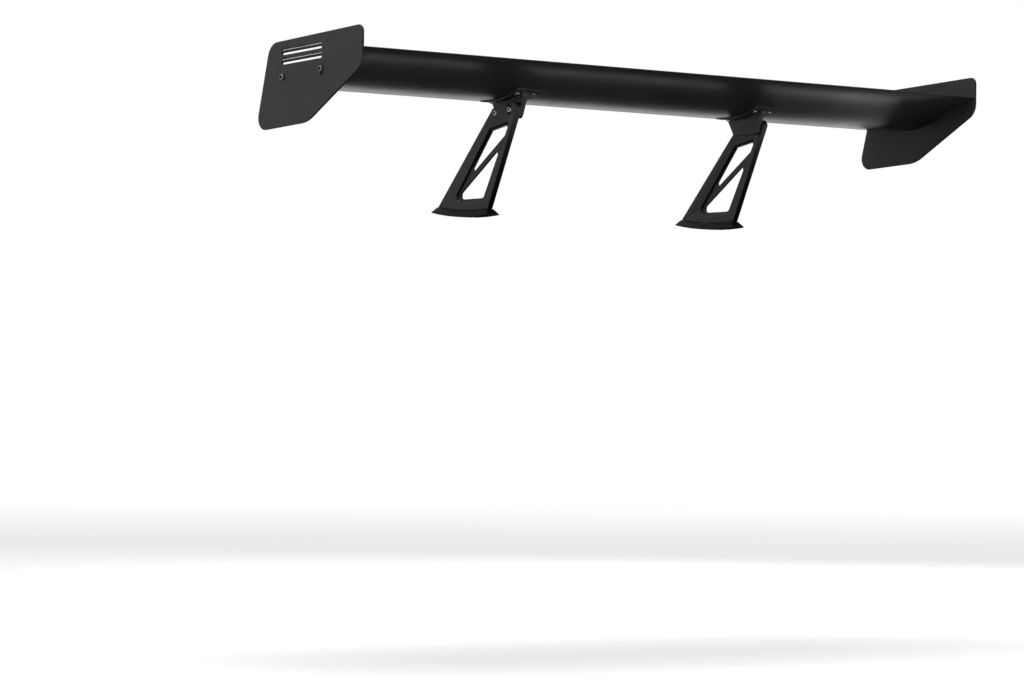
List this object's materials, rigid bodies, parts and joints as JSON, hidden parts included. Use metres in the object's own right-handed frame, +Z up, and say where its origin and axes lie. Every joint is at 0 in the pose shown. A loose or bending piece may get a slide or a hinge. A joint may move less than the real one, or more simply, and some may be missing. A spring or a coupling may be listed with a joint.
{
  "type": "racing rear wing",
  "caption": "Hollow composite wing with slotted end plates, tilting on cut-out stand plates with flared shoes that bolt to a boot lid.",
  "frame": {"origin": "on the centre plane, midway between the two shoes, at the lowest facet of the gaskets that lie on the boot lid", "axes": "+X to the car's right along the span, +Y to the car's front, +Z up"},
  "size_m": [1.6592, 0.4308, 0.3468],
  "materials": {
    "wing_skin": "satin black paint over a composite skin",
    "end_plate": "satin black paint over a composite sheet",
    "laminate": "bare carbon laminate, hidden",
    "bare_aluminium": "machined",
    "bracket": "black anodised, satin",
    "stand_plate": "black anodised, satin",
    "shoe": "black powder coat, satin",
    "rubber": "moulded sheet",
    "black_screw": "black oxide",
    "bright_screw": "stainless",
    "bright_bolt": "stainless",
    "bush": "plain bronze, hidden",
    "insert": "plain threaded insert"
  },
  "bodies": {
    "stands": {"base_gasket_left": "rubber", "base_gasket_right": "rubber", "base_shoe_left": "shoe", "base_shoe_right": "shoe", "deck_insert_front_left": "insert", "deck_insert_front_right": "insert", "deck_insert_rear_left": "insert", "deck_insert_rear_right": "insert", "pivot_bush_left": "bush", "pivot_bush_right": "bush", "stand_plate_left": "stand_plate", "stand_plate_right": "stand_plate", "stand_screw_front_left": "black_screw", "stand_screw_front_right": "black_screw", "stand_screw_rear_left": "black_screw", "stand_screw_rear_right": "black_screw"},
    "wing": {"angle_bolt_left": "bright_bolt", "angle_bolt_right": "bright_bolt", "angle_washer_left": "bright_bolt", "angle_washer_right": "bright_bolt", "bracket_left": "bracket", "bracket_right": "bracket", "bracket_screw_front_inner_left": "bright_screw", "bracket_screw_front_inner_right": "bright_screw", "bracket_screw_front_outer_left": "bright_screw", "bracket_screw_front_outer_right": "bright_screw", "bracket_screw_rear_inner_left": "bright_screw", "bracket_screw_rear_inner_right": "bright_screw", "bracket_screw_rear_outer_left": "bright_screw", "bracket_screw_rear_outer_right": "bright_screw", "end_rib_left": "bare_aluminium", "end_rib_right": "bare_aluminium", "endplate_left": "end_plate", "endplate_right": "end_plate", "endplate_screw_front_left": "black_screw", "endplate_screw_front_right": "black_screw", "endplate_screw_rear_left": "black_screw", "endplate_screw_rear_right": "black_screw", "front_spar": "laminate", "lower_skin": "wing_skin", "mount_block_left": "bare_aluminium", "mount_block_right": "bare_aluminium", "pivot_bolt_left": "bright_bolt", "pivot_bolt_right": "bright_bolt", "rear_spar": "laminate", "upper_skin": "wing_skin"}
  },
  "joints": [
    {"name": "wing_angle", "type": "hinge", "parent": "stands", "child": "wing", "pos_m": [0, -0.073, 0.2145], "axis": [1, 0, 0], "range_deg": [-4, 4]}
  ]
}
